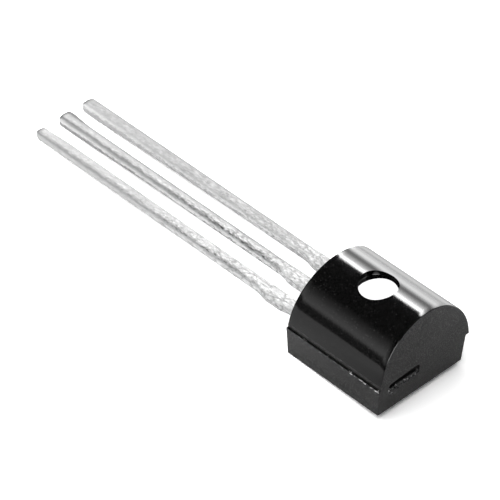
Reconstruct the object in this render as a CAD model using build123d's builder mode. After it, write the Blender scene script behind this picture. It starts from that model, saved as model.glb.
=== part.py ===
from build123d import *
import os

# Transistor in a moulded three-lead package, lying on its flat face with the leads along -X.
# The origin is on the flat face, below the middle lead's axis and midway along the body.
# Lengths are in millimetres, drafts in degrees, and +Z points up from the flat face.

# Moulded body, measured at the parting plane where the two mould halves met
body_length = 4.68
body_depth = 3.46
parting_height = 1.22
barrel_radius = 2.30
barrel_draft = 3.5
barrel_edge_break = 0.03
block_width = 4.49
block_draft = 3.0
block_edge_break = 0.02
mould_shift = 0.12

# Round pit that the ejector pin left in the top of the barrel
pit_diameter = 1.51
pit_depth = 0.23
pit_x = -0.045
pit_y = -0.10

# Scar in the block's end face where the moulding was broken from its runner:
# a slot under the parting plane, with a torn lip that slopes from its floor to the face
gate_width = 1.54
gate_depth = 0.25
gate_slot_height = 0.27
gate_lip_height = 0.15
gate_lip_depth = 0.06
gate_y = -1.08

# Tinned strip leads, whose upper faces lie on the parting plane
lead_pitch = 1.27
lead_length = 14.665
lead_width = 0.46
lead_thickness = 0.40
lead_edge_break = 0.05
tip_radius = 0.20

# Stubs beside the leads, left where the bar that held the strip together was punched away
stub_distance = 1.05
stub_length = 0.90
stub_ramp = 0.35
stub_front = 0.12
stub_rear = 0.03
stub_bend = 0.25

# Inner ends of the leads: a flag that carries the chip, and a post for each bond wire
flag_length = 1.70
flag_width = 1.90
flag_x = 0.55
post_length = 0.80
post_width = 1.00
post_x = -0.95

# Chip, on the solder layer that holds it to the flag
die_side = 0.50
die_height = 0.20
attach_side = 0.56
attach_height = 0.03

# Bond wires, each with a pressed ball on the chip and a flattened foot on its post
wire_diameter = 0.05
wire_rise = 0.30
bond_spacing = 0.24
ball_diameter = 0.11
ball_height = 0.03
foot_length = 0.18
foot_width = 0.09
foot_height = 0.03

# How far cuts run past the faces that they open
overrun = 0.50

barrel_height = body_depth - parting_height
end_x = body_length / 2
gate_floor = parting_height - gate_slot_height
gate_foot = gate_floor - gate_lip_height
lead_floor = parting_height - lead_thickness
tip_x = -end_x - lead_length
stub_end_x = -end_x - stub_distance
stub_start_x = stub_end_x - stub_length
die_floor = parting_height + attach_height
die_top = die_floor + die_height

os.makedirs("parts", exist_ok=True)

# The leads, each one stamping from its tip to the flag or post inside the body
lead_table = {
    "emitter_lead": (-lead_pitch, post_x, post_length, post_width),
    "collector_lead": (0, flag_x, flag_length, flag_width),
    "base_lead": (lead_pitch, post_x, post_length, post_width),
}
inner_pieces = []
for lead_name, (row_y, head_x, head_length, head_width) in lead_table.items():
    front_y = row_y - lead_width / 2
    rear_y = row_y + lead_width / 2
    head_start_x = head_x - head_length / 2
    head_end_x = head_x + head_length / 2
    corners = [
        ((tip_x, rear_y), tip_radius),
        ((tip_x, front_y), tip_radius),
        ((stub_start_x - stub_ramp, front_y), stub_bend),
        ((stub_start_x, front_y - stub_front), stub_bend),
        ((stub_end_x, front_y - stub_front), stub_bend),
        ((stub_end_x + stub_ramp, front_y), stub_bend),
        ((head_start_x, front_y), 0),
        ((head_start_x, row_y - head_width / 2), 0),
        ((head_end_x, row_y - head_width / 2), 0),
        ((head_end_x, row_y + head_width / 2), 0),
        ((head_start_x, row_y + head_width / 2), 0),
        ((head_start_x, rear_y), 0),
        ((stub_end_x + stub_ramp, rear_y), stub_bend),
        ((stub_end_x, rear_y + stub_rear), stub_bend),
        ((stub_start_x, rear_y + stub_rear), stub_bend),
        ((stub_start_x - stub_ramp, rear_y), stub_bend),
    ]
    with BuildPart() as lead:
        with BuildSketch(Plane.XY.offset(lead_floor)):
            with BuildLine():
                points = [point for point, _ in corners]
                bends = [bend for _, bend in corners]
                FilletPolyline(points, radius=bends, close=True)
            make_face()
        extrude(amount=lead_thickness)
        chamfer(lead.faces().filter_by(Axis.Z).edges(), lead_edge_break)
    lead.part.label = lead_name
    export_step(lead.part, f"parts/{lead_name}.step")
    inner_pieces.append(lead.part)

# The solder layer and the chip, stacked on the middle of the flag
with BuildPart() as die_attach:
    with BuildSketch(Plane.XY.offset(parting_height)):
        with Locations((flag_x, 0)):
            Rectangle(attach_side, attach_side)
    extrude(amount=attach_height)
die_attach.part.label = "die_attach"
export_step(die_attach.part, "parts/die_attach.step")

with BuildPart() as silicon_die:
    with BuildSketch(Plane.XY.offset(die_floor)):
        with Locations((flag_x, 0)):
            Rectangle(die_side, die_side)
    extrude(amount=die_height)
silicon_die.part.label = "silicon_die"
export_step(silicon_die.part, "parts/silicon_die.step")
inner_pieces += [die_attach.part, silicon_die.part]

# The bond wires, looped from the chip's upper face to the posts at either side
for wire_name, side in (("emitter_wire", -1), ("base_wire", 1)):
    bond = Vector(flag_x, side * bond_spacing / 2, die_top)
    landing = Vector(post_x, side * lead_pitch, parting_height)
    along = Vector(landing.X - bond.X, landing.Y - bond.Y, 0)
    foot_drop = bond.Z - landing.Z - wire_diameter / 2
    loop_plane = Plane(origin=bond, x_dir=along, z_dir=along.cross(Vector(0, 0, 1)))
    foot_plane = Plane(origin=landing, x_dir=along, z_dir=(0, 0, 1))
    with BuildPart() as wire:
        with BuildLine(loop_plane):
            Polyline(
                (0, 0),
                (0, wire_rise),
                (along.length - foot_length / 2, -foot_drop),
                (along.length + foot_length / 2, -foot_drop),
            )
        with BuildSketch(Plane.XY.offset(bond.Z)):
            with Locations((bond.X, bond.Y)):
                Circle(wire_diameter / 2)
        sweep(transition=Transition.RIGHT)
        with BuildSketch(Plane.XY.offset(bond.Z)):
            with Locations((bond.X, bond.Y)):
                Circle(ball_diameter / 2)
        extrude(amount=ball_height)
        with BuildSketch(foot_plane):
            Rectangle(foot_length, foot_width)
        extrude(amount=foot_height)
    wire.part.label = wire_name
    export_step(wire.part, f"parts/{wire_name}.step")
    inner_pieces.append(wire.part)

# The moulding: a round barrel with drafted ends above the parting plane, and a drafted block below it
with BuildPart() as moulded_body:
    with BuildSketch(Plane.XY.offset(parting_height)):
        Rectangle(body_length, 2 * (barrel_radius + overrun))
    extrude(amount=barrel_height, taper=barrel_draft)
    with BuildSketch(Plane.YZ):
        with Locations((0, body_depth - barrel_radius)):
            Circle(barrel_radius)
    extrude(amount=body_length, both=True, mode=Mode.INTERSECT)
    rims = moulded_body.faces().filter_by(GeomType.CYLINDER).edges().filter_by(Axis.X, reverse=True)
    chamfer(rims, barrel_edge_break)
    with BuildSketch(Plane.XY.offset(parting_height)):
        with Locations((0, -mould_shift)):
            Rectangle(body_length, block_width)
    extrude(amount=-parting_height, taper=block_draft)
    chamfer(moulded_body.faces().sort_by(Axis.Z)[0].edges(), block_edge_break)

    # Ejector pit, flat-floored
    with BuildSketch(Plane.XY.offset(body_depth - pit_depth)):
        with Locations((pit_x, pit_y)):
            Circle(pit_diameter / 2)
    extrude(amount=pit_depth + overrun, mode=Mode.SUBTRACT)

    # Gate scar, just below the parting plane
    with BuildSketch(Plane.XZ.offset(-gate_y)):
        with BuildLine():
            Polyline(
                (end_x - gate_depth, parting_height),
                (end_x - gate_depth, gate_floor),
                (end_x - gate_lip_depth, gate_floor),
                (end_x, gate_foot),
                (end_x + overrun, gate_foot),
                (end_x + overrun, parting_height),
                close=True,
            )
        make_face()
    extrude(amount=gate_width / 2, both=True, mode=Mode.SUBTRACT)

    # The compound flowed round everything inside
    add(inner_pieces, mode=Mode.SUBTRACT)
moulded_body.part.label = "moulded_body"
export_step(moulded_body.part, "parts/moulded_body.step")
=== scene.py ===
# %% [markdown]
# # A small transistor in a half-round moulded case
# A three-lead transistor is a stamped metal strip, a chip soldered to it, two gold wires, and a black
# compound moulded round them. The CAD frame holds every piece at its real size. This lesson gives the
# frame its looks: the polished barrel, the satin ends, the broken gate and the hot-tinned leads.
# Blender's cutting tools work to a fixed tolerance that is coarse beside a part this small, so pieces are
# modelled in millimetres, and each is brought into the frame's metres once, when it is settled.

# %% Load the frame
import math
from collections import namedtuple

import bmesh
import bpy
from mathutils import Matrix, Vector, noise


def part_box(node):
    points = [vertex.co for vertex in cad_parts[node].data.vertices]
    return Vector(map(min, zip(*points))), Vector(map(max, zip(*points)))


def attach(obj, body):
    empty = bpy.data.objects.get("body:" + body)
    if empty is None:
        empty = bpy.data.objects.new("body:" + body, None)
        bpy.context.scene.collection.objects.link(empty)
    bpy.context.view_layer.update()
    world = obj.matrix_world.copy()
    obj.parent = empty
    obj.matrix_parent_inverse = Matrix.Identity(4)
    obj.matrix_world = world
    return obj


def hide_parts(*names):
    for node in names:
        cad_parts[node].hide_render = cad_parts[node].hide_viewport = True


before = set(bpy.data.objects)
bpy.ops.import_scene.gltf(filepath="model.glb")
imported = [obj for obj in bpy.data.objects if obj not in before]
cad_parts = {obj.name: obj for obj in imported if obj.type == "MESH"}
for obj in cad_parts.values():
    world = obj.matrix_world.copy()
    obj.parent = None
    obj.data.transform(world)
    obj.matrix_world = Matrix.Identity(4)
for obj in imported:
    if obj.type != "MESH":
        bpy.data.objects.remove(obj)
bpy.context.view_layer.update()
MM = 0.001
print("frame nodes:", sorted(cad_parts))


# %% [markdown]
# ## Sizes
# The moulding was made in two mould halves that met at the parting plane. The upper half formed the barrel
# and the lower half the block, and the halves stood a little out of line, which left a ledge along one side
# and an overhang along the other. The frame gives the outer sizes, so only what it can't tell is named here.

# %% Measure the frame
BARREL_RADIUS = 2.30
BLOCK_WIDTH = 4.49


def box_in_mm(node):
    """Lowest and highest corner of a CAD node, in millimetres."""
    low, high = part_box(node)
    return low / MM, high / MM


body_low, body_high = box_in_mm("moulded_body")
lead_low, lead_high = box_in_mm("collector_lead")
end_x = body_high.x
parting_z = lead_high.z
lead_thickness = lead_high.z - lead_low.z
barrel_axis_z = body_high.z - BARREL_RADIUS
block_y = body_low.y + BLOCK_WIDTH / 2
print(f"body {2 * end_x:.2f} long, parting plane at {parting_z:.2f}, block centre y {block_y:.3f}")


# %% [markdown]
# ## Making a piece
# Each piece starts as a bmesh, is shaped by operators, and becomes an object that sits at the origin with
# its place in its mesh. A moulding is smooth with crisp corners, so its shading is smooth and breaks only
# where faces meet at more than a set angle. Planes do the rough shaping: one helper saws off what lies
# beyond a plane and closes the cut, and one only scores the surface, which leaves edges to be moved later.

# %% Define how a piece is made, sawn and scored
CRISP_ANGLE = math.radians(32)
CUT_TOLERANCE = 1e-5


def make_piece(bm, name, *materials):
    """Turns a bmesh into an object with smooth shading that breaks at sharp edges."""
    mesh = bpy.data.meshes.new(name)
    bm.to_mesh(mesh)
    bm.free()
    for material in materials:
        mesh.materials.append(material)
    mesh.shade_smooth()
    mesh.set_sharp_from_angle(angle=CRISP_ANGLE)
    piece = bpy.data.objects.new(name, mesh)
    bpy.context.scene.collection.objects.link(piece)
    return piece


def cut_away(bm, place, direction):
    """Removes what lies beyond a plane on the side of its direction, and closes the cut."""
    everything = bm.verts[:] + bm.edges[:] + bm.faces[:]
    bmesh.ops.bisect_plane(bm, geom=everything, dist=CUT_TOLERANCE, plane_co=place, plane_no=direction,
                           clear_outer=True)
    open_edges = [edge for edge in bm.edges if edge.is_boundary]
    return bmesh.ops.edgeloop_fill(bm, edges=open_edges)["faces"]


def slice_across(bm, places, direction, faces=None):
    """Adds edges where planes cross the chosen faces, or all of them, so that the surface can be shaped."""
    for place in places:
        chosen = faces(bm) if faces else bm.faces[:]
        edges = {edge for face in chosen for edge in face.edges}
        verts = {vert for face in chosen for vert in face.verts}
        geometry = [*verts, *edges, *chosen]
        bmesh.ops.bisect_plane(bm, geom=geometry, dist=CUT_TOLERANCE, plane_co=place, plane_no=direction)


# %% [markdown]
# ## Material helpers
# Every finish here is procedural. A small helper makes a material with its shader, and another adds a node
# and fills in its sockets, so that a finish reads as a short recipe.

# %% Define the material helpers
def new_finish(name, **sockets):
    """A material whose Principled shader has these constants on its own sockets."""
    material = bpy.data.materials.new(name)
    material.use_nodes = True
    shader = material.node_tree.nodes["Principled BSDF"]
    for socket, value in sockets.items():
        shader.inputs[socket.replace("_", " ")].default_value = value
    return material, material.node_tree, shader


def add_node(tree, kind, settings=None, **sockets):
    """One node with its settings. Sockets are named, or numbered as i0, and a socket given is linked."""
    node = tree.nodes.new(kind)
    for key, value in (settings or {}).items():
        setattr(node, key, value)
    for socket, value in sockets.items():
        number = socket[1:]
        target = node.inputs[int(number) if number.isdigit() else socket.replace("_", " ")]
        if isinstance(value, bpy.types.NodeSocket):
            tree.links.new(value, target)
        else:
            target.default_value = value
    return node


def stretched_place(tree, stretch=(1, 1, 1)):
    """Object coordinates in millimetres, scaled along each axis, so that a pattern can be drawn out."""
    place = add_node(tree, "ShaderNodeTexCoord")
    scale = tuple(share / MM for share in stretch)
    return add_node(tree, "ShaderNodeMapping", Vector=place.outputs["Object"], Scale=scale).outputs["Vector"]


def grey_levels(tree, factor, *stops):
    """A colour ramp from (place, grey) pairs."""
    ramp = add_node(tree, "ShaderNodeValToRGB", Fac=factor)
    elements = ramp.color_ramp.elements
    while len(elements) < len(stops):
        elements.new(0.5)
    for element, (place, grey) in zip(elements, stops):
        element.position = place
        element.color = (grey, grey, grey, 1)
    return ramp.outputs["Color"]


def limits(tree, value, from_min, from_max, to_min=0.0, to_max=1.0):
    """A value carried from one range to another, and held at its ends."""
    node = add_node(tree, "ShaderNodeMapRange", Value=value, From_Min=from_min, From_Max=from_max,
                    To_Min=to_min, To_Max=to_max)
    return node.outputs["Result"]


def maths(tree, operation, first, second=0.0):
    """One step of arithmetic."""
    return add_node(tree, "ShaderNodeMath", {"operation": operation}, i0=first, i1=second).outputs[0]


def blend(tree, factor, first, second):
    """A value between two others."""
    node = add_node(tree, "ShaderNodeMix", {"data_type": "FLOAT"}, Factor=factor, A=first, B=second)
    return node.outputs["Result"]


# %% [markdown]
# ## The black moulding compound
# The compound is an epoxy full of fine silica, dyed black. Where the mould was polished, on the barrel, it
# is as glossy as a mirror with a slight ripple. Where the mould was spark-eroded, on the ends and the block,
# it is satin. The ejector pin pressed a true mirror into the pit, and the gate shows the raw broken grain,
# whose pale specks are partly filler and partly painted glints. A dull black finish is painted shade, laid
# in the gate's slot and hollow and beside the ledge, where shade falls. Five unlike materials could be drawn,
# but it is all one stuff, so one recipe makes all five, each with its own gloss, ripple and grain, and three
# with pale specks of filler.

# %% Write the compound's recipe
COMPOUND_IOR = 1.55
DEEP_BLACK = (0.0010, 0.0018, 0.0060)
SHADE_PLACES = (0.40, 0.50, 0.62)
GLOSS_NOISE = (0.3, 0.7)
FLOW_STRETCH = (0.12, 1, 1)
FLOW_SCALE = 4.0
SPECK_CORE_SHARE = 0.4
SPECK_EDGE = 0.06
MICROMETRE = 0.001 * MM


def compound(name, gloss, gloss_change, ripple, grain, grain_size, shade=DEEP_BLACK, specks=()):
    """Black epoxy. Gloss is the roughness and its change, ripple and grain are heights in micrometres, and a
    kind of speck is its places per millimetre, its size, the share of places that have one, and its grey."""
    material, tree, shader = new_finish(name, IOR=COMPOUND_IOR)
    place = stretched_place(tree)
    fine = add_node(tree, "ShaderNodeTexNoise", Vector=place, Scale=1 / grain_size, Detail=3.0, Roughness=0.6)
    flow = add_node(tree, "ShaderNodeTexNoise", Vector=stretched_place(tree, FLOW_STRETCH), Scale=FLOW_SCALE,
                    Detail=4.0)
    colour = grey_levels(tree, fine.outputs["Fac"], *zip(SHADE_PLACES, shade))
    for per_mm, size, share, bright in specks:
        dots = add_node(tree, "ShaderNodeTexVoronoi", Vector=place, Scale=per_mm)
        core = grey_levels(tree, dots.outputs["Distance"], (size * SPECK_CORE_SHARE, bright), (size, 0.0))
        some = grey_levels(tree, dots.outputs["Color"], (1 - share, 0.0), (1 - share + SPECK_EDGE, 1.0))
        colour = maths(tree, "ADD", colour, maths(tree, "MULTIPLY", core, some))
    tree.links.new(colour, shader.inputs["Base Color"])
    rough = limits(tree, fine.outputs["Fac"], *GLOSS_NOISE, gloss - gloss_change, gloss + gloss_change)
    tree.links.new(rough, shader.inputs["Roughness"])
    waves = add_node(tree, "ShaderNodeBump", Height=flow.outputs["Fac"], Distance=ripple * MICROMETRE,
                     Strength=1.0)
    grains = add_node(tree, "ShaderNodeBump", Height=fine.outputs["Fac"], Distance=grain * MICROMETRE,
                      Strength=1.0, Normal=waves.outputs["Normal"])
    tree.links.new(grains.outputs["Normal"], shader.inputs["Normal"])
    return material


# %% Mix the compound's five finishes
polished = compound("polished_compound", gloss=0.080, gloss_change=0.04, ripple=1.6, grain=1.0,
                    grain_size=0.045, specks=((10.0, 0.30, 0.55, 0.016), (2.6, 0.08, 0.14, 0.10)))
satin = compound("satin_compound", gloss=0.42, gloss_change=0.10, ripple=1.0, grain=4.0, grain_size=0.045,
                 shade=(0.0010, 0.0100, 0.0800), specks=((6.0, 0.15, 0.35, 0.030), (2.2, 0.07, 0.12, 0.20)))
pressed = compound("pressed_compound", gloss=0.05, gloss_change=0.02, ripple=0.3, grain=0.1, grain_size=0.06)
# Painted shade: a dull black finish for places where shade falls, the gate's slot and hollow, the barrel's
# lowest strip and the ledge
painted_shade = compound("painted_shade_compound", gloss=0.60, gloss_change=0.10, ripple=1.0, grain=2.0, grain_size=0.05,
                  shade=(0.0010, 0.0015, 0.0030))
# The broken grain's pale specks are partly filler and partly painted glints
broken = compound("broken_compound", gloss=0.30, gloss_change=0.15, ripple=4.0, grain=9.0, grain_size=0.035,
                  shade=(0.0010, 0.0060, 0.0900), specks=((5.5, 0.38, 0.45, 0.95),))
print("compound finishes:", [m.name for m in (polished, satin, pressed, painted_shade, broken)])


# %% [markdown]
# ## The barrel
# The barrel is a round bar cut off by planes: the parting plane below, and two ends that lean inwards by the
# draft that let it leave the mould. Cutting a real cylinder with planes gives the true outline where each
# plane meets the curve, which a drawn outline would only come near to. The polish stops short of the parting
# plane, so the barrel's foot is satin, and its lowest strip, down beside the ledge, is painted dull black as
# the shade that falls there.

# %% Cut the barrel from a round bar
BARREL_DRAFT = math.radians(3.5)
BAR_SEGMENTS = 360
BAR_LENGTH_SHARE = 2.4
RIM_ANGLE = math.radians(40)
RIM_ROUND = 0.035
JUST_ABOVE = 1e-4

bm = bmesh.new()
bmesh.ops.create_cone(bm, cap_ends=True, segments=BAR_SEGMENTS, radius1=BARREL_RADIUS, radius2=BARREL_RADIUS,
                      depth=end_x * BAR_LENGTH_SHARE)
bmesh.ops.rotate(bm, verts=bm.verts, matrix=Matrix.Rotation(math.pi / 2, 3, "Y"))
bmesh.ops.translate(bm, verts=bm.verts, vec=(0, 0, barrel_axis_z))
for side in (-1, 1):
    end_out = Vector((side * math.cos(BARREL_DRAFT), 0, math.sin(BARREL_DRAFT)))
    cut_away(bm, (side * end_x, 0, parting_z), end_out)
cut_away(bm, (0, 0, parting_z), (0, 0, -1))
sharp_edges = [edge for edge in bm.edges if edge.calc_face_angle(0) > RIM_ANGLE]
rims = [edge for edge in sharp_edges if any(v.co.z > parting_z + JUST_ABOVE for v in edge.verts)]
bmesh.ops.bevel(bm, geom=rims, offset=RIM_ROUND, offset_type="OFFSET", affect="EDGES", segments=4,
                profile=0.5, material=-1, clamp_overlap=True)
print("bar cut to", len(bm.faces), "faces, with", len(rims), "rim edges rounded")

# %% Give the barrel its finishes
SATIN_FOOT = 0.16
SHADED_FOOT = 0.04
END_FACING = 0.9
SIDE_FACING = 0.1
SCORES_PER_SIDE = 8
SCORE_STEP = 0.25

bm.normal_update()
# The lowest strip beside the ledge gets painted shade, the dull black finish
for face in bm.faces:
    height = face.calc_center_median().z - parting_z
    satin_face = abs(face.normal.x) > END_FACING or height < SATIN_FOOT
    foot_face = abs(face.normal.x) < SIDE_FACING and height < SHADED_FOOT
    face.material_index = 2 if foot_face else 1 if satin_face else 0
scores = range(-SCORES_PER_SIDE, SCORES_PER_SIDE + 1)
slice_across(bm, [(place * SCORE_STEP, 0, 0) for place in scores], (1, 0, 0))
body = make_piece(bm, "body_moulding", polished, satin, painted_shade)
print("barrel:", len(body.data.polygons), "faces")


# %% [markdown]
# ## The ejector pit
# A pin pushed the moulding out of the upper mould half. Its end stood in the cavity, so it left a round,
# flat-floored pit in the barrel's crown. A pit could be pressed into the mesh by moving its vertices, but a
# cutter keeps the rim round: a cylinder with a rounded foot is the pin, and a Boolean takes it away.

# %% Sink the pit
PIT_RADIUS = 0.755
PIT_DEPTH = 0.23
PIT_X = -0.045
PIT_Y = -0.10
PIT_FOOT_ROUND = 0.03
PIN_SEGMENTS = 160
PIN_LENGTH_SHARE = 4


def combine(piece, tool, operation):
    """Joins a tool to a piece, or takes it away, and removes the tool."""
    modifier = piece.modifiers.new(operation.lower(), "BOOLEAN")
    modifier.operation = operation
    modifier.solver = "EXACT"
    modifier.material_mode = "TRANSFER"
    modifier.object = tool
    bpy.context.view_layer.update()
    solid = piece.evaluated_get(bpy.context.evaluated_depsgraph_get())
    mesh = bpy.data.meshes.new_from_object(solid)
    piece.modifiers.clear()
    old = piece.data
    name = old.name
    piece.data = mesh
    bpy.data.meshes.remove(old)
    mesh.name = name
    bpy.data.objects.remove(tool)


bm = bmesh.new()
pin_length = PIT_DEPTH * PIN_LENGTH_SHARE
bmesh.ops.create_cone(bm, cap_ends=True, segments=PIN_SEGMENTS, radius1=PIT_RADIUS, radius2=PIT_RADIUS,
                      depth=pin_length)
bmesh.ops.translate(bm, verts=bm.verts, vec=(PIT_X, PIT_Y, body_high.z - PIT_DEPTH + pin_length / 2))
pit_foot = [edge for edge in bm.edges if all(v.co.z < body_high.z for v in edge.verts)]
bmesh.ops.bevel(bm, geom=pit_foot, offset=PIT_FOOT_ROUND, offset_type="OFFSET", affect="EDGES", segments=3,
                profile=0.5, material=-1)
pin_end = min(bm.faces, key=lambda face: face.calc_center_median().z)
bmesh.ops.inset_individual(bm, faces=[pin_end], thickness=PIT_FOOT_ROUND / 2)
combine(body, make_piece(bm, "ejector_pin", pressed), "DIFFERENCE")
print("barrel with pit:", len(body.data.polygons), "faces")


# %% [markdown]
# ## The block
# Below the parting plane the body is a plain block that narrows towards the flat face. It starts as a cube
# whose lower corners are drawn in by the draft, and its edges are rounded as a mould's corners are. Its ends
# lie flush with the barrel's, so the union leaves no step there. Its upper face shows only as the narrow
# ledge beside the barrel, which lies in shade, so it is painted with the dull black finish as shade.

# %% Shape the block and join it to the barrel
BLOCK_DRAFT = math.radians(3.0)
BLOCK_EDGE_ROUND = 0.02
UP_FACING = 0.9

bm = bmesh.new()
bmesh.ops.create_cube(bm, size=1.0)
bmesh.ops.scale(bm, verts=bm.verts, vec=(2 * end_x, BLOCK_WIDTH, parting_z))
bmesh.ops.translate(bm, verts=bm.verts, vec=(0, block_y, parting_z / 2))
draw_in = parting_z * math.tan(BLOCK_DRAFT)
for vert in bm.verts:
    if vert.co.z < parting_z / 2:
        vert.co.x -= math.copysign(draw_in, vert.co.x)
        vert.co.y -= math.copysign(draw_in, vert.co.y - block_y)
rounded = [edge for edge in bm.edges if any(v.co.z < parting_z / 2 for v in edge.verts)]
bmesh.ops.bevel(bm, geom=rounded, offset=BLOCK_EDGE_ROUND, offset_type="OFFSET", affect="EDGES", segments=3,
                profile=0.5, material=-1)
bm.normal_update()
# The upper face, the ledge, gets painted shade, the dull black finish
for face in bm.faces:
    face.material_index = 1 if face.normal.z > UP_FACING else 0
combine(body, make_piece(bm, "block", satin, painted_shade), "UNION")
print("barrel and block:", len(body.data.polygons), "faces")


# %% [markdown]
# ## The broken gate
# The compound flowed in through a gate in one end. When the runner was snapped off it left a slot, a
# hollow behind it and a torn lip that slopes down to the end's face. The slot and the hollow are painted
# dull black as the shade inside them. The scar could be a bump on a flat face, but it is deep enough to show
# from the side. So a profile drawn out across the end is the stub that broke away, scored finely enough for
# its lower skin to be torn by noise, and then it is taken from the body.

# %% Draw the stub that broke away
GATE_WIDTH = 1.60
GATE_Y = -1.09
GATE_DEPTH = 0.34
GATE_SLOT_HEIGHT = 0.29
GATE_HOLLOW = 0.16
GATE_LIP_HEIGHT = 0.22
GATE_LIP_DEPTH = 0.10
GATE_CREST = 0.03
GATE_OVERRUN = 0.30
GATE_SLICE = 0.025
LIP_SLICE_SHARES = (0.15, 0.3, 0.45, 0.6, 0.75, 0.9)
DOWN_FACING = -0.05
LIP_MARGIN = 0.01

slot_floor = parting_z - GATE_SLOT_HEIGHT
lip_foot = slot_floor - GATE_LIP_HEIGHT
hollow_floor = slot_floor - GATE_HOLLOW
gate_front = GATE_Y - GATE_WIDTH / 2
back_x, crest_x, out_x = end_x - GATE_DEPTH, end_x - GATE_LIP_DEPTH, end_x + GATE_OVERRUN
profile = [
    (back_x, parting_z), (back_x, hollow_floor), (crest_x - GATE_CREST, hollow_floor),
    (crest_x, slot_floor), (end_x, lip_foot), (out_x, lip_foot), (out_x, parting_z),
]
bm = bmesh.new()
bm.faces.new([bm.verts.new((x, gate_front, z)) for x, z in profile])
made = bmesh.ops.extrude_face_region(bm, geom=bm.faces[:])
far = [item for item in made["geom"] if isinstance(item, bmesh.types.BMVert)]
bmesh.ops.translate(bm, verts=far, vec=(0, GATE_WIDTH, 0))
bmesh.ops.recalc_face_normals(bm, faces=bm.faces[:])
slices = range(1, int(GATE_WIDTH / GATE_SLICE))
slice_across(bm, [(0, gate_front + i * GATE_SLICE, 0) for i in slices], (0, 1, 0))
slice_across(bm, [(0, 0, lip_foot + share * GATE_LIP_HEIGHT) for share in LIP_SLICE_SHARES], (0, 0, 1))
bm.normal_update()
# The slot and hollow get painted shade, the dull black finish, and the lip the broken grain
for face in bm.faces:
    on_lip = face.calc_center_median().x > crest_x - LIP_MARGIN
    face.material_index = 1 if face.normal.z < DOWN_FACING and on_lip else 0
print("stub:", len(bm.faces), "faces")

# %% [markdown]
# ## The tear
# The scar isn't level: its top and its foot rise towards the rear, and its ends are round. The lip tore in
# and out along its slope and up and down along its crest. The crest's tear fades at the round ends, because
# a stub that crossed itself there would spoil the cut.

# %% Tear the stub and break it off
GATE_TOP_RISE = (0.04, 0.12)
GATE_FLOOR_RISE = (0.03, 0.04)
GATE_FOOT_RISE = (0.04, 0.17)
GATE_ROUND = 0.17
TOP_CLOSES_SHARE = 0.9
FOOT_CLOSES_SHARE = 0.4
SLOT_MARGIN = 0.05
CREST_SHARE = 0.9
SLOPE_TEAR = 0.10
CREST_TEAR = 0.05
TEAR_SIZE = 0.11
TEAR_FALL, TEAR_STEP, TEAR_OCTAVES = 0.8, 2.1, 3


def between(ends, share):
    """A value on the way from one end to the other."""
    return ends[0] * (1 - share) + ends[1] * share


for vert in bm.verts:
    along = (vert.co.y - gate_front) / GATE_WIDTH
    into_end = min(1.0, max(0.0, 1 - min(along, 1 - along) * GATE_WIDTH / GATE_ROUND))
    closing = GATE_ROUND * (1 - math.sqrt(1 - into_end * into_end))
    if vert.co.z > slot_floor + SLOT_MARGIN:
        vert.co.z += between(GATE_TOP_RISE, along) - closing * TOP_CLOSES_SHARE
        continue
    up_the_lip = max(0.0, min(1.0, (vert.co.z - lip_foot) / GATE_LIP_HEIGHT))
    foot_rise, floor_rise = between(GATE_FOOT_RISE, along), between(GATE_FLOOR_RISE, along)
    vert.co.z += foot_rise * (1 - up_the_lip) + floor_rise * up_the_lip + closing * FOOT_CLOSES_SHARE
    torn = noise.fractal(vert.co / TEAR_SIZE, TEAR_FALL, TEAR_STEP, TEAR_OCTAVES)
    if crest_x + LIP_MARGIN < vert.co.x < end_x + LIP_MARGIN:
        vert.co.x = max(crest_x + LIP_MARGIN, vert.co.x + torn * SLOPE_TEAR)
    elif vert.co.x > crest_x - LIP_MARGIN and up_the_lip > CREST_SHARE:
        vert.co.z += max(-1.0, min(1.0, torn)) * CREST_TEAR * (1 - into_end)
combine(body, make_piece(bm, "gate_stub", painted_shade, broken), "DIFFERENCE")
print("with its gate broken:", len(body.data.polygons), "faces")


# %% [markdown]
# ## The flash
# A little clear resin crept between the mould halves, and its ragged skin still clings below the front
# ledge. Paint on the block would lie too flat, so it is a thin strip with a ragged edge, joined to the body.
# Its colour is mostly dark, with painted glints: pale in chipped patches, a little more towards the right,
# and palest at the right-hand corner.

# %% Mix the resin and its painted glints
FLASH_GLINTS_ALONG = (-0.5, 2.0, -0.06, 0.02)
FLASH_CORNER_GLINT = (2.08, 2.2, 0.0, 0.20)
FLASH_LEVELS = ((0.44, 0.020), (0.60, 0.110), (0.76, 0.85))

resin_and_glints, tree, shader = new_finish("resin_flash_glints", Roughness=0.35, IOR=1.5)
place = stretched_place(tree)
lumps = add_node(tree, "ShaderNodeTexNoise", Vector=place, Scale=12.0, Detail=3.0, Roughness=0.7)
chips = add_node(tree, "ShaderNodeTexVoronoi", Vector=place, Scale=9.0)
skin = maths(tree, "ADD", lumps.outputs["Fac"], chips.outputs["Color"])
broken_skin = maths(tree, "MULTIPLY", skin, 0.5)
along = add_node(tree, "ShaderNodeSeparateXYZ", Vector=place).outputs["X"]
# Painted glints: paler towards the right, and palest at the right-hand corner
glints_along = maths(tree, "ADD", limits(tree, along, *FLASH_GLINTS_ALONG), limits(tree, along, *FLASH_CORNER_GLINT))
pale = grey_levels(tree, maths(tree, "ADD", broken_skin, glints_along), *FLASH_LEVELS)
tree.links.new(pale, shader.inputs["Base Color"])
print("flash finish:", resin_and_glints.name)

# %% Leave the flash below the ledge
FLASH_TOP = 0.012
FLASH_HEIGHT = 0.045
FLASH_STANDS = 0.008
FLASH_THICKNESS = 0.1
FLASH_SHORTER = 0.06
FLASH_SLICE = 0.03
FLASH_RAGGED_SHARE = 0.5
RAG_LENGTH = 0.10
RAGS_PER_MM = 20
RAG_SEED = 0.5
RAG_FALL, RAG_STEP, RAG_OCTAVES = 0.7, 2.2, 4

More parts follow.
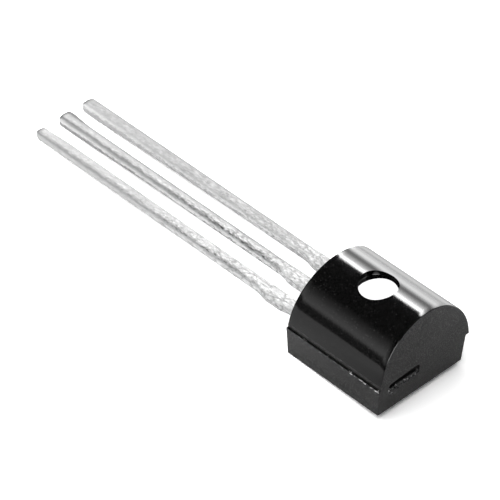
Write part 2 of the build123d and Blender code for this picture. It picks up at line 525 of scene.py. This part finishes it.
bm = bmesh.new()
bmesh.ops.create_cube(bm, size=1.0)
bmesh.ops.scale(bm, verts=bm.verts, vec=(2 * end_x - FLASH_SHORTER, FLASH_THICKNESS, FLASH_HEIGHT))
flash_y = body_low.y - FLASH_STANDS + FLASH_THICKNESS / 2
flash_z = parting_z - FLASH_TOP - FLASH_HEIGHT / 2
bmesh.ops.translate(bm, verts=bm.verts, vec=(0, flash_y, flash_z))
slices = range(1, int(2 * end_x / FLASH_SLICE))
slice_across(bm, [(-end_x + i * FLASH_SLICE, 0, 0) for i in slices], (1, 0, 0))
for vert in bm.verts:
    spot = Vector((vert.co.x / RAG_LENGTH, vert.co.z * RAGS_PER_MM, RAG_SEED))
    ragged = noise.fractal(spot, RAG_FALL, RAG_STEP, RAG_OCTAVES)
    vert.co.z += FLASH_HEIGHT * FLASH_RAGGED_SHARE * ragged
    if vert.co.y < body_low.y:
        vert.co.y += FLASH_STANDS * ragged
combine(body, make_piece(bm, "flash", resin_and_glints), "UNION")
print("whole moulding:", len(body.data.polygons), "faces")


# %% [markdown]
# ## Settling a piece
# Cutting leaves slivers, faces so thin that they have no area, which spoil a mesh that others are to use.
# Points that nearly meet are merged, faces of many corners are cut into triangles, and then the piece is
# brought from millimetres into metres. A modifier weights the normals by area, so that the large flat faces
# keep their true direction in the shading.

# %% Settle the moulding
SLIVER = 2e-4
FLAT_FACE_WEIGHT = 80


def settle(piece):
    """Removes the slivers that cutting left, and brings a piece from millimetres into metres."""
    bm = bmesh.new()
    bm.from_mesh(piece.data)
    bmesh.ops.remove_doubles(bm, verts=bm.verts, dist=SLIVER)
    bmesh.ops.dissolve_degenerate(bm, edges=bm.edges, dist=SLIVER)
    bmesh.ops.triangulate(bm, faces=[face for face in bm.faces if len(face.verts) > 4])
    bmesh.ops.dissolve_degenerate(bm, edges=bm.edges, dist=SLIVER)
    bmesh.ops.scale(bm, verts=bm.verts, vec=(MM, MM, MM))
    bm.to_mesh(piece.data)
    bm.free()
    piece.data.shade_smooth()
    piece.data.set_sharp_from_angle(angle=CRISP_ANGLE)


settle(body)
even = body.modifiers.new("even_normals", "WEIGHTED_NORMAL")
even.keep_sharp = True
even.weight = FLAT_FACE_WEIGHT
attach(body, "root")
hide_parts("moulded_body")
print("settled moulding:", len(body.data.polygons), "faces")


# %% [markdown]
# ## The tin
# The leads were dipped in molten tin. It froze dull and grey, smooth at the tips and grainy and cracked
# towards the body. The greys change across a lead more than along it, and they are partly painted light:
# pale lines where a lead catches the light, and painted shade on the ridge between the front side and the
# top, where dark specks deepen it, and on the rear edge of two of them. Close to the body the tin is paler,
# partly as painted light against the shade that the body casts. So a ramp follows an attribute that runs
# from the foot of the front side, over the ridge, to the rear edge of the top. Noise with a seed of its own
# then makes each lead wander from the ramp in its own way.

# %% Set the tin's ranges
# A row of four is a range, along a lead in millimetres or of a noise, and the values at its two ends
TIN_RAWNESS = (-13.0, -4.0, 0.25, 1.0)
TIN_UNEVENNESS = (-15.0, -8.0, 0.45, 1.0)
# Close to the body the tin is made paler and lighter, partly as painted light against the body's shade
TIN_PALE_AND_LIT = (-5.8, -4.4, 0.0, 0.75)
TIN_PAINTED_LIGHT = (-12.5, -8.0, 1.0, 1.16)
# Dark specks on the ridge, which deepen its painted shade
TIN_RIDGE_SPECKS_BEGIN = (-12.0, -8.0, 0.10, 1.0)
TIN_RIDGE_SPECKS_END = (-5.6, -4.6, 1.0, 0.15)
CLOUD_WANDER = (0.25, 0.75, -0.05, 0.05)
CLOUD_SHADE = (0.30, 0.70, 0.86, 1.10)
CLOUD_PATCH = (0.40, 0.55, 0.15, 1.0)
CLOUD_GLOSS = (0.3, 0.7, 0.62, 0.45)
GRAIN_WANDER = (0.35, 0.65, -0.09, 0.09)
GRAIN_MOTTLE = (0.36, 0.64, -0.38, 0.30)
RIDGE = 0.46
BESIDE_RIDGE = (0.03, 0.15, 1.0, 0.0)
TIN_RIDGE_SPECK_EDGE = (0.49, 0.57)
SEAM_DIRT = ((0.0, 0.62), (0.10, 0.0))
SEAM_BEND = (0.22, 0.22, 0.22)
# Painted shade on the upper side of the nose
NOSE_SHADE = 0.75
# The pale grey close to the body is partly painted light
PALE_AND_LIT_TIN = 0.65
LIGHTEST_TIN = 0.97
TIN_IOR = 1.35
TIN_STRETCH = (0.40, 1, 1)
TIN_GRAIN = 0.006 * MM
print(f"pits from {TIN_RIDGE_SPECKS_BEGIN[0]} to {TIN_RIDGE_SPECKS_END[1]} along the leads")


# %% Write the tin's recipe
def seeded_noise(tree, place, seed, scale, detail, roughness):
    """Noise that differs from lead to lead by its seed."""
    return add_node(tree, "ShaderNodeTexNoise", {"noise_dimensions": "4D"}, Vector=place, W=seed, Scale=scale,
                    Detail=detail, Roughness=roughness)


def product(tree, first, *others):
    """Several values multiplied."""
    for other in others:
        first = maths(tree, "MULTIPLY", first, other)
    return first


def tin(name, seed, levels, bare):
    """Dull tin. Levels are its greys, partly painted highlights and shade, from the foot of the front side
    over the ridge to the top's rear edge, and the last argument is how far dark specks deepen the painted
    shade on the ridge."""
    material, tree, shader = new_finish(name, IOR=TIN_IOR)
    drawn = stretched_place(tree, TIN_STRETCH)
    cloud = seeded_noise(tree, drawn, seed, scale=6.0, detail=4.0, roughness=0.65).outputs["Fac"]
    crystals = seeded_noise(tree, drawn, seed + 3.0, scale=15.0, detail=4.0, roughness=0.7)
    grain = crystals.outputs["Fac"]
    spots = seeded_noise(tree, drawn, seed + 7.0, scale=14.0, detail=2.0, roughness=0.6).outputs["Fac"]
    bent = add_node(tree, "ShaderNodeVectorMath", {"operation": "MULTIPLY_ADD"}, i0=crystals.outputs["Color"],
                    i1=SEAM_BEND, i2=drawn).outputs["Vector"]
    cells = {"feature": "DISTANCE_TO_EDGE", "voronoi_dimensions": "4D"}
    seams = add_node(tree, "ShaderNodeTexVoronoi", cells, Vector=bent, W=seed, Scale=4.5).outputs["Distance"]
    along = add_node(tree, "ShaderNodeSeparateXYZ", Vector=stretched_place(tree)).outputs["X"]
    across = add_node(tree, "ShaderNodeAttribute", {"attribute_name": "across"}).outputs["Fac"]
    nose = add_node(tree, "ShaderNodeAttribute", {"attribute_name": "nose"}).outputs["Fac"]

    # The greys across the lead, with their painted highlights and shade, made to wander, and evened out close
    # to the body into a paler grey that is partly painted light
    raw = limits(tree, along, *TIN_RAWNESS)
    uneven = limits(tree, along, *TIN_UNEVENNESS)
    wander = maths(tree, "ADD", across, limits(tree, cloud, *CLOUD_WANDER))
    wander = maths(tree, "ADD", wander, product(tree, uneven, limits(tree, grain, *GRAIN_WANDER)))
    shade = grey_levels(tree, wander, *levels)
    shade = blend(tree, limits(tree, along, *TIN_PALE_AND_LIT), shade, PALE_AND_LIT_TIN)
    mottle = product(tree, uneven, limits(tree, grain, *GRAIN_MOTTLE))
    shade = product(tree, shade, maths(tree, "ADD", 1.0, mottle), limits(tree, cloud, *CLOUD_SHADE))

    # Dark cracks, and painted shade: specks along the ridge and the upper side of the nose
    cracks = product(tree, grey_levels(tree, seams, *SEAM_DIRT), raw, limits(tree, cloud, *CLOUD_PATCH))
    off_ridge = maths(tree, "ABSOLUTE", maths(tree, "SUBTRACT", across, RIDGE))
    on_ridge = limits(tree, off_ridge, *BESIDE_RIDGE)
    ridge_specks = product(tree, limits(tree, spots, *TIN_RIDGE_SPECK_EDGE, 0.0, bare), on_ridge,
                   limits(tree, along, *TIN_RIDGE_SPECKS_BEGIN), limits(tree, along, *TIN_RIDGE_SPECKS_END))
    cracks_and_shade = maths(tree, "MAXIMUM", maths(tree, "MAXIMUM", cracks, ridge_specks), product(tree, nose, NOSE_SHADE))
    # Painted light: the tin is made lighter towards the body, against the shade that the body casts
    shade = product(tree, shade, maths(tree, "SUBTRACT", 1.0, cracks_and_shade), limits(tree, along, *TIN_PAINTED_LIGHT))

    tree.links.new(maths(tree, "MINIMUM", shade, LIGHTEST_TIN), shader.inputs["Base Color"])
    tree.links.new(limits(tree, cloud, *CLOUD_GLOSS), shader.inputs["Roughness"])
    bump = add_node(tree, "ShaderNodeBump", Height=product(tree, grain, raw), Distance=TIN_GRAIN,
                    Strength=1.0)
    tree.links.new(bump.outputs["Normal"], shader.inputs["Normal"])
    return material


# %% Choose the greys across each lead
# The greys are partly the tin's own and partly painted light: pale lines where a lead catches the light, and
# painted shade on the ridge and at the rear edge
FRONT_LEVELS = [
    (0.0, 0.70), (0.15, 0.74), (0.27, 0.70), (0.36, 0.52), (0.42, 0.35), (0.48, 0.36), (0.55, 0.46),
    (0.62, 0.57), (0.70, 0.64), (0.85, 0.60), (1.0, 0.58),
]
MIDDLE_LEVELS = [
    (0.0, 0.48), (0.07, 0.38), (0.12, 0.56), (0.19, 0.96), (0.26, 0.95), (0.34, 0.62), (0.41, 0.34),
    (0.49, 0.27), (0.55, 0.34), (0.60, 0.50), (0.66, 0.63), (0.80, 0.58), (0.88, 0.46), (0.94, 0.24),
    (1.0, 0.24),
]
REAR_LEVELS = [
    (0.0, 0.62), (0.12, 0.64), (0.20, 0.76), (0.28, 0.95), (0.35, 0.86), (0.42, 0.54), (0.49, 0.44),
    (0.55, 0.47), (0.75, 0.49), (0.88, 0.50), (0.95, 0.30), (1.0, 0.30),
]
print("greys across each lead:", len(FRONT_LEVELS), len(MIDDLE_LEVELS), len(REAR_LEVELS))


# %% [markdown]
# ## The punched strip
# The leads were punched from one copper strip and later cut from the tie bar that held them together, which
# left a low shoulder on each. A lead could be a stretched cube, but the shoulders and the round tip belong
# to its outline. So each lead is its outline seen from above, with its corners rounded, thickened downwards,
# and then its edges are rounded as the tin rounds them.

# %% Draw a lead's outline
LEAD_WIDTH = 0.46
TIP_X = lead_low.x
BODY_END_X = body_low.x
STUB_DISTANCE = 1.05
STUB_LENGTH = 0.90
STUB_END_X = BODY_END_X - STUB_DISTANCE
STUB_START_X = STUB_END_X - STUB_LENGTH
STUB_RAMP = 0.35
STUB_FRONT = 0.12
STUB_REAR = 0.03


def lead_outline(row_y, tip_x, head_low, head_high):
    """Corners of a lead seen from above, from its tip round to its head inside the body."""
    front_y, rear_y = row_y - LEAD_WIDTH / 2, row_y + LEAD_WIDTH / 2
    return [
        (tip_x, rear_y), (tip_x, front_y),
        (STUB_START_X - STUB_RAMP, front_y), (STUB_START_X, front_y - STUB_FRONT),
        (STUB_END_X, front_y - STUB_FRONT), (STUB_END_X + STUB_RAMP, front_y),
        (head_low.x, front_y), (head_low.x, head_low.y),
        (head_high.x, head_low.y), (head_high.x, head_high.y),
        (head_low.x, head_high.y), (head_low.x, rear_y),
        (STUB_END_X + STUB_RAMP, rear_y), (STUB_END_X, rear_y + STUB_REAR),
        (STUB_START_X, rear_y + STUB_REAR), (STUB_START_X - STUB_RAMP, rear_y),
    ]


print(f"strip {LEAD_WIDTH} wide, shoulders from {STUB_START_X:.2f} to {STUB_END_X:.2f}")

# %% Punch the strip
TIP_ROUND = 0.215
STUB_SOFTNESS = 0.16
LEVEL_TOLERANCE = 1e-6


def punched_strip(corners, edge_round):
    """A lead's outline with its tip and bends rounded, thickened, and with its edges rounded."""
    bm = bmesh.new()
    outline = [bm.verts.new((x, y, parting_z)) for x, y in corners]
    face = bm.faces.new(outline)
    face.normal_update()
    if face.normal.z < 0:
        face.normal_flip()
    tips = outline[:2]
    bends = outline[2:6] + outline[12:]
    bmesh.ops.bevel(bm, geom=tips, offset=TIP_ROUND, offset_type="OFFSET", affect="VERTICES", segments=8,
                    profile=0.5, material=-1)
    bmesh.ops.bevel(bm, geom=bends, offset=STUB_SOFTNESS, offset_type="OFFSET", affect="VERTICES", segments=5,
                    profile=0.5, material=-1)
    made = bmesh.ops.extrude_face_region(bm, geom=bm.faces[:])
    lower = [item for item in made["geom"] if isinstance(item, bmesh.types.BMVert)]
    bmesh.ops.translate(bm, verts=lower, vec=(0, 0, -lead_thickness))
    bmesh.ops.recalc_face_normals(bm, faces=bm.faces[:])
    rims = [edge for edge in bm.edges if abs(edge.verts[0].co.z - edge.verts[1].co.z) < LEVEL_TOLERANCE]
    bmesh.ops.bevel(bm, geom=rims, offset=edge_round, offset_type="OFFSET", affect="EDGES", segments=5,
                    profile=0.5, material=-1, clamp_overlap=True)
    return bm


# %% [markdown]
# ## The skin of the tin
# Molten tin pulls into a crowned skin with soft edges. It lies a little uneven, more so near the body, hangs
# fuller on the front side of two leads towards their tips, and ends in a rounded nose. Behind the nose the
# middle lead carries a small drop and the front one has a slight dip. A modifier could displace the skin by
# a texture, but these forms each have a place of their own on the lead, so the strip is scored finely and
# its vertices are moved by a formula.

# %% Score a lead for its skin
LEAD_SLICE = 0.09
FIRST_SLICE_INSIDE = 0.1
SLICED_INSIDE = 0.2
WIDTH_SLICE_SHARES = (-0.4, -0.2, 0, 0.2, 0.4)
HEIGHT_SLICE_SHARES = (0.4, 0.6)


def faces_outside(bm):
    """Faces of a lead that lie outside the body or just within it."""
    inner_x = BODY_END_X + SLICED_INSIDE
    return [face for face in bm.faces if all(vert.co.x < inner_x for vert in face.verts)]


def score_lead(bm, row_y, tip_x):
    """Edges along and round a lead, so that its skin can be shaped."""
    slices = range(int((BODY_END_X - tip_x) / LEAD_SLICE) + 1)
    first_x = BODY_END_X + FIRST_SLICE_INSIDE
    slice_across(bm, [(first_x - i * LEAD_SLICE, 0, 0) for i in slices], (1, 0, 0))
    across = [(0, row_y + share * LEAD_WIDTH / 2, 0) for share in WIDTH_SLICE_SHARES]
    slice_across(bm, across, (0, 1, 0), faces_outside)
    heights = [(0, 0, parting_z - share * lead_thickness) for share in HEIGHT_SLICE_SHARES]
    slice_across(bm, heights, (0, 0, 1), faces_outside)


# %% Let the tin flow over a lead
CROWN = 0.014
UNDERSIDE_SHARE = -0.5
GRAINY_REACH = 4.0
SKIN_STRETCH = 0.6
SKIN_SIZE = 0.22
SKIN_FALL, SKIN_STEP, SKIN_OCTAVES = 0.9, 2.0, 3
SKIN_LEAST, SKIN_MORE = 0.002, 0.007
DROP_REACH = 0.60
DROP_PLACE_SHARE = 0.6
FULLER_REACH = 3.2
FULLER_LEAN = 0.5


def flow_tin(bm, lead, row_y, tip_x):
    """Crowns the skin outside the body, makes it uneven, and gathers tin towards the tip."""
    bm.normal_update()
    for vert in bm.verts:
        out = BODY_END_X - vert.co.x
        if out <= 0:
            continue
        normal = vert.normal
        across = (vert.co.y - row_y) / (LEAD_WIDTH / 2)
        rise = max(0.0, 1 - across * across) * (1 if normal.z > 0 else UNDERSIDE_SHARE) * abs(normal.z)
        near = 1 / (1 + (out / GRAINY_REACH) ** 2)
        spot = Vector((vert.co.x * SKIN_STRETCH, vert.co.y, vert.co.z)) / SKIN_SIZE
        spot += Vector((lead.seed, 0, 0))
        swell = noise.fractal(spot, SKIN_FALL, SKIN_STEP, SKIN_OCTAVES) * (SKIN_LEAST + SKIN_MORE * near)
        from_tip = vert.co.x - tip_x
        drop = lead.drop * math.exp(-((from_tip / DROP_REACH - DROP_PLACE_SHARE) ** 2))
        full = lead.fuller * math.exp(-((from_tip / FULLER_REACH) ** 2))
        swell += drop * max(0.0, normal.y + normal.z)
        swell += full * max(0.0, -normal.y - FULLER_LEAN * normal.z)
        vert.co += Vector((0, 0, CROWN * rise)) + normal * swell


# %% Round the nose
NOSE_LENGTH = 0.30
NOSE_THINNING = 0.93


def round_nose(bm, tip_x):
    """Thins a lead to a round nose at its tip."""
    middle_z = parting_z - lead_thickness / 2
    for vert in bm.verts:
        short = min(1.0, max(0.0, 1 - (vert.co.x - tip_x) / NOSE_LENGTH))
        vert.co.z = middle_z + (vert.co.z - middle_z) * math.sqrt(1 - NOSE_THINNING * short * short)


# %% [markdown]
# ## Three tinned leads
# The finish needs to know where it is on a lead. Object coordinates can't tell, because the shoulders shift
# the sides, so each vertex carries how far it is across, from foot to rear edge, and how much painted shade
# its upper nose takes. The three leads differ only in a row of values: the middle one ends in the flag that
# carries the chip, the outer two in bond posts, each was dipped a little differently, and each has its own
# painted highlights and shade.

# %% Mark the places on a lead
NOSE_MARK = 2.4


def shoulder(x):
    """How far the front side stands out at a place along the lead."""
    rising = (x - STUB_START_X + STUB_RAMP) / STUB_RAMP
    falling = (STUB_END_X + STUB_RAMP - x) / STUB_RAMP
    return STUB_FRONT * min(1.0, max(0.0, min(rising, falling)))


def mark_places(bm, row_y, tip_x):
    """Writes on each vertex its place across the lead and its share of the painted shade on the nose."""
    bm.normal_update()
    across = bm.verts.layers.float.new("across")
    nose = bm.verts.layers.float.new("nose")
    # Painted shade on the nose, strongest where it faces up and out towards the tip
    for vert in bm.verts:
        stands_out = shoulder(vert.co.x)
        from_foot = vert.co.z - (parting_z - lead_thickness)
        from_front = vert.co.y - (row_y - LEAD_WIDTH / 2 - stands_out)
        vert[across] = (from_foot + from_front) / (lead_thickness + LEAD_WIDTH + stands_out)
        faces_out = NOSE_MARK * max(0.0, -vert.normal.x) * max(0.0, vert.normal.z)
        vert[nose] = faces_out if vert.co.x < tip_x + NOSE_LENGTH else 0.0


# %% Tin the three leads
POST_START_X = -1.35
FLAG_START_X = -0.30
Lead = namedtuple("Lead", "name head_x longer edge_round drop fuller seed levels bare")


def tinned_lead(lead):
    """One lead as a mesh piece that stands for the CAD lead."""
    low, high = box_in_mm(lead.name)
    row_y = (low.y + high.y) / 2
    tip_x = TIP_X - lead.longer
    corners = lead_outline(row_y, tip_x, Vector((lead.head_x, low.y, 0)), high)
    bm = punched_strip(corners, lead.edge_round)
    score_lead(bm, row_y, tip_x)
    flow_tin(bm, lead, row_y, tip_x)
    round_nose(bm, tip_x)
    mark_places(bm, row_y, tip_x)
    name = "tinned_" + lead.name
    return make_piece(bm, name, tin(name + "_tin", lead.seed, lead.levels, lead.bare))


LEADS = (
    Lead("emitter_lead", POST_START_X, longer=0.0, edge_round=0.07, drop=-0.03, fuller=0.0, seed=1.7,
         levels=FRONT_LEVELS, bare=0.65),
    Lead("collector_lead", FLAG_START_X, longer=0.05, edge_round=0.09, drop=0.05, fuller=0.060, seed=5.2,
         levels=MIDDLE_LEVELS, bare=0.80),
    Lead("base_lead", POST_START_X, longer=0.08, edge_round=0.06, drop=0.0, fuller=0.07, seed=9.4,
         levels=REAR_LEVELS, bare=0.20),
)
for lead in LEADS:
    lead_name = lead.name
    piece = tinned_lead(lead)
    settle(piece)
    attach(piece, "root")
    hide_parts(lead_name)
    print(piece.name, len(piece.data.polygons), "faces")


# %% [markdown]
# ## What the moulding hides
# The solder layer, the chip and its bond wires can't be seen, but the frame holds them, so each gets the
# finish that it has before the compound covers it: grey grainy solder, dark polished silicon and drawn gold.
# Their shapes are plain, so the frame's own meshes are kept and only given a material.

# %% Finish the hidden pieces
def inner_finish(name, dark, light, metallic, rough, grain_size):
    """A finish that wavers between two colours."""
    material, tree, shader = new_finish(name, Metallic=metallic, Roughness=rough)
    grain = add_node(tree, "ShaderNodeTexNoise", Vector=stretched_place(tree), Scale=1 / grain_size)
    shade = add_node(tree, "ShaderNodeMix", {"data_type": "RGBA"}, Factor=grain.outputs["Fac"])
    shade.inputs["A"].default_value = (*dark, 1)
    shade.inputs["B"].default_value = (*light, 1)
    tree.links.new(shade.outputs["Result"], shader.inputs["Base Color"])
    return material


solder = inner_finish("grey_solder", (0.38, 0.38, 0.40), (0.62, 0.62, 0.64), 1.0, 0.45, 0.03)
silicon = inner_finish("polished_silicon", (0.05, 0.055, 0.07), (0.11, 0.115, 0.14), 0.6, 0.15, 0.12)
gold = inner_finish("drawn_gold", (0.80, 0.52, 0.16), (0.92, 0.66, 0.26), 1.0, 0.22, 0.02)
hidden = {"die_attach": solder, "silicon_die": silicon, "emitter_wire": gold, "base_wire": gold}
for node, finish in hidden.items():
    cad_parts[node].data.materials.clear()
    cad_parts[node].data.materials.append(finish)
    print(node, "is finished in", finish.name)


# %% [markdown]
# ## The studio
# A glossy black part shows little of itself and much of its surroundings. Round the barrel's long axis stand,
# from front to rear: a dark room, a dim card, the dark camera side, a strip lamp high behind, and a broad
# pale backdrop. They stand a little askew, so their mirror images drift along the barrel, and a lamp at the
# right shines on the end. Lamps and cards could be placed as objects, but a world shader can draw them as
# bands for mirror rays alone. It gives matt surfaces soft light from the front left and overhead, and is
# plain white to the camera.

# %% Set out the bands and lamps
STUDIO_BANDS = [
    (-92, 2.9), (-85, 3.7), (-81, 4.7), (-77, 6.1), (-73, 6.6), (-69, 5.6), (-65, 3.2), (-61, 1.6),
    (-57, 1.8), (-53, 3.0), (-49, 5.5), (-45, 8.2), (-42, 15.5), (-38.5, 21.0), (-36.5, 21.0), (-34.5, 11.0),
    (-32.5, 0.3), (-28, 0.07), (-16, 0.03), (36, 0.02), (44, 0.2), (52, 0.42), (60, 0.72), (69, 1.0),
    (73, 0.8), (76, 0.1), (92, 0.1),
]
BRIGHTEST = 21.0
BAND_FIRST, BAND_LAST = STUDIO_BANDS[0][0], STUDIO_BANDS[-1][0]
BANDS_FACE_X = -0.53
BANDS_DRIFT, BANDS_DRIFT_X = math.radians(8.0), (-0.59, -0.39)
BANDS_FULL, BANDS_GONE, BANDS_REST = 0.10, 0.26, 0.12
SIDE_LAMP = Vector((0.80, -0.50, 0.33)).normalized()
SIDE_LAMP_EDGE = (0.94, 0.98)
SIDE_LAMP_LEVEL = 10.0
OVERHEAD = (0.15, 0.8, 0.03, 1.0)
SOFT_FROM = Vector((-0.45, -0.64, 0.62)).normalized()
SOFT_EDGE = (0.15, 1.0)
SOFT_LOW, SOFT_HIGH = 0.38, 3.5
print("studio:", len(STUDIO_BANDS), "band edges, from", BAND_FIRST, "to", BAND_LAST, "degrees")

# %% Light the studio
world = bpy.data.worlds.new("studio")
bpy.context.scene.world = world
world.use_nodes = True
world.cycles.sampling_method = "NONE"
tree = world.node_tree
direction = add_node(tree, "ShaderNodeTexCoord").outputs["Generated"]
parts = add_node(tree, "ShaderNodeSeparateXYZ", Vector=direction)


def facing(towards):
    """How far a ray points towards a direction, from -1 to 1."""
    node = add_node(tree, "ShaderNodeVectorMath", {"operation": "DOT_PRODUCT"}, i0=direction, i1=towards)
    return node.outputs["Value"]


around = maths(tree, "ARCTAN2", maths(tree, "MULTIPLY", parts.outputs["Y"], -1.0), parts.outputs["Z"])
drift = limits(tree, parts.outputs["X"], *BANDS_DRIFT_X, BANDS_DRIFT, -BANDS_DRIFT)
around = maths(tree, "ADD", around, drift)
share = limits(tree, around, math.radians(BAND_FIRST), math.radians(BAND_LAST))
band_width = BAND_LAST - BAND_FIRST
stops = [((degrees - BAND_FIRST) / band_width, level / BRIGHTEST) for degrees, level in STUDIO_BANDS]
off_axis = maths(tree, "ABSOLUTE", maths(tree, "SUBTRACT", parts.outputs["X"], BANDS_FACE_X))
reach = limits(tree, off_axis, BANDS_FULL, BANDS_GONE, BRIGHTEST, BRIGHTEST * BANDS_REST)
bands = maths(tree, "MULTIPLY", grey_levels(tree, share, *stops), reach)
lamp = limits(tree, facing(SIDE_LAMP), *SIDE_LAMP_EDGE, 0.0, SIDE_LAMP_LEVEL)
mirror = maths(tree, "ADD", bands, lamp)
overhead = limits(tree, parts.outputs["Z"], *OVERHEAD)
soft = maths(tree, "MULTIPLY", overhead, limits(tree, facing(SOFT_FROM), *SOFT_EDGE, SOFT_LOW, SOFT_HIGH))
ray = add_node(tree, "ShaderNodeLightPath")
lit = blend(tree, ray.outputs["Is Glossy Ray"], soft, mirror)
seen = blend(tree, ray.outputs["Is Camera Ray"], lit, 1.0)
tree.links.new(seen, tree.nodes["Background"].inputs["Color"])
print("world:", world.name, "with", len(tree.nodes), "nodes")


# %% [markdown]
# ## The floor
# The part doesn't lie flat: its weight is over the leads, so it rests on the heel of the block and on the
# lead tips, and the floor leans to meet both. The floor is a pale card with painted light on it. A lamp over
# it would also show in the barrel, so the card itself is brighter to the camera than to the light that it
# throws back at the part, and its brightness falls off towards the block. To all but the camera, the card
# is painted brighter far behind and dimmer to the right.

# %% Lay the floor under the heel of the block and the lead tips
FLOOR_SIZE = 60
FLOOR_SHADE = 0.55
FLOOR_SWEEP = 3.4
FLOOR_SWEEP_Y = (4.8, 12.0)
FLOOR_DIM = 0.66
FLOOR_DIM_X = (-3.0, 0.5)
FLOOR_SEEN = (1.90, 1.40)
FLOOR_SEEN_X = (-4.0, 1.5)

heel_x = body_low.x + draw_in + BLOCK_EDGE_ROUND
lean = math.atan2(lead_low.z, heel_x - lead_low.x)
bm = bmesh.new()
bmesh.ops.create_grid(bm, x_segments=1, y_segments=1, size=FLOOR_SIZE)
bmesh.ops.rotate(bm, verts=bm.verts, matrix=Matrix.Rotation(lean, 3, "Y"))
bmesh.ops.translate(bm, verts=bm.verts, vec=(heel_x, 0, 0))
pale = bpy.data.materials.new("pale_floor")
pale.use_nodes = True
tree = pale.node_tree
tree.nodes.remove(tree.nodes["Principled BSDF"])
place = add_node(tree, "ShaderNodeSeparateXYZ", Vector=stretched_place(tree))
# Painted light and shade to all but the camera: brighter far behind, dimmer to the right
sweep = limits(tree, place.outputs["Y"], *FLOOR_SWEEP_Y, FLOOR_SHADE, FLOOR_SHADE * FLOOR_SWEEP)
sweep = maths(tree, "MULTIPLY", sweep, limits(tree, place.outputs["X"], *FLOOR_DIM_X, 1.0, FLOOR_DIM))
ray = add_node(tree, "ShaderNodeLightPath")
lamp_fall = limits(tree, place.outputs["X"], *FLOOR_SEEN_X, *FLOOR_SEEN)
shade = blend(tree, ray.outputs["Is Camera Ray"], sweep, lamp_fall)
matt = add_node(tree, "ShaderNodeBsdfDiffuse", Color=shade)
tree.links.new(matt.outputs["BSDF"], tree.nodes["Material Output"].inputs["Surface"])
floor = make_piece(bm, "floor", pale)
settle(floor)
print(f"the floor leans {math.degrees(lean):.2f} degrees")


# %% [markdown]
# ## The camera
# The part is seen from the front right and well above, through a long lens from far away, which keeps its
# edges almost parallel. The camera could be aimed by eye, but its place, turn and lens were worked out from
# the body's corners, the rims and the leads as they lie in the photograph, so a render can be laid over it.

# %% Place the camera
CAMERA_PLACE = Vector((58.018, -65.880, 80.570)) * MM
CAMERA_AZIMUTH = math.radians(44.451)
CAMERA_ELEVATION = math.radians(40.837)
CAMERA_ROLL = math.radians(1.917)
CAMERA_LENS = 236.08
CAMERA_SENSOR = 36.0
CAMERA_NEAR = 0.001

camera_data = bpy.data.cameras.new("camera")
camera_data.lens = CAMERA_LENS
camera_data.sensor_width = CAMERA_SENSOR
camera_data.clip_start = CAMERA_NEAR
camera = bpy.data.objects.new("camera", camera_data)
bpy.context.scene.collection.objects.link(camera)
backwards = Vector((math.sin(CAMERA_AZIMUTH) * math.cos(CAMERA_ELEVATION),
                    -math.cos(CAMERA_AZIMUTH) * math.cos(CAMERA_ELEVATION), math.sin(CAMERA_ELEVATION)))
upright = (-backwards).to_track_quat("-Z", "Y").to_matrix()
camera.matrix_world = Matrix.LocRotScale(CAMERA_PLACE, upright @ Matrix.Rotation(CAMERA_ROLL, 3, "Z"), None)
bpy.context.scene.camera = camera
bpy.context.scene.view_settings.view_transform = "Standard"
print("camera:", [round(v / MM, 1) for v in CAMERA_PLACE], "lens", CAMERA_LENS)
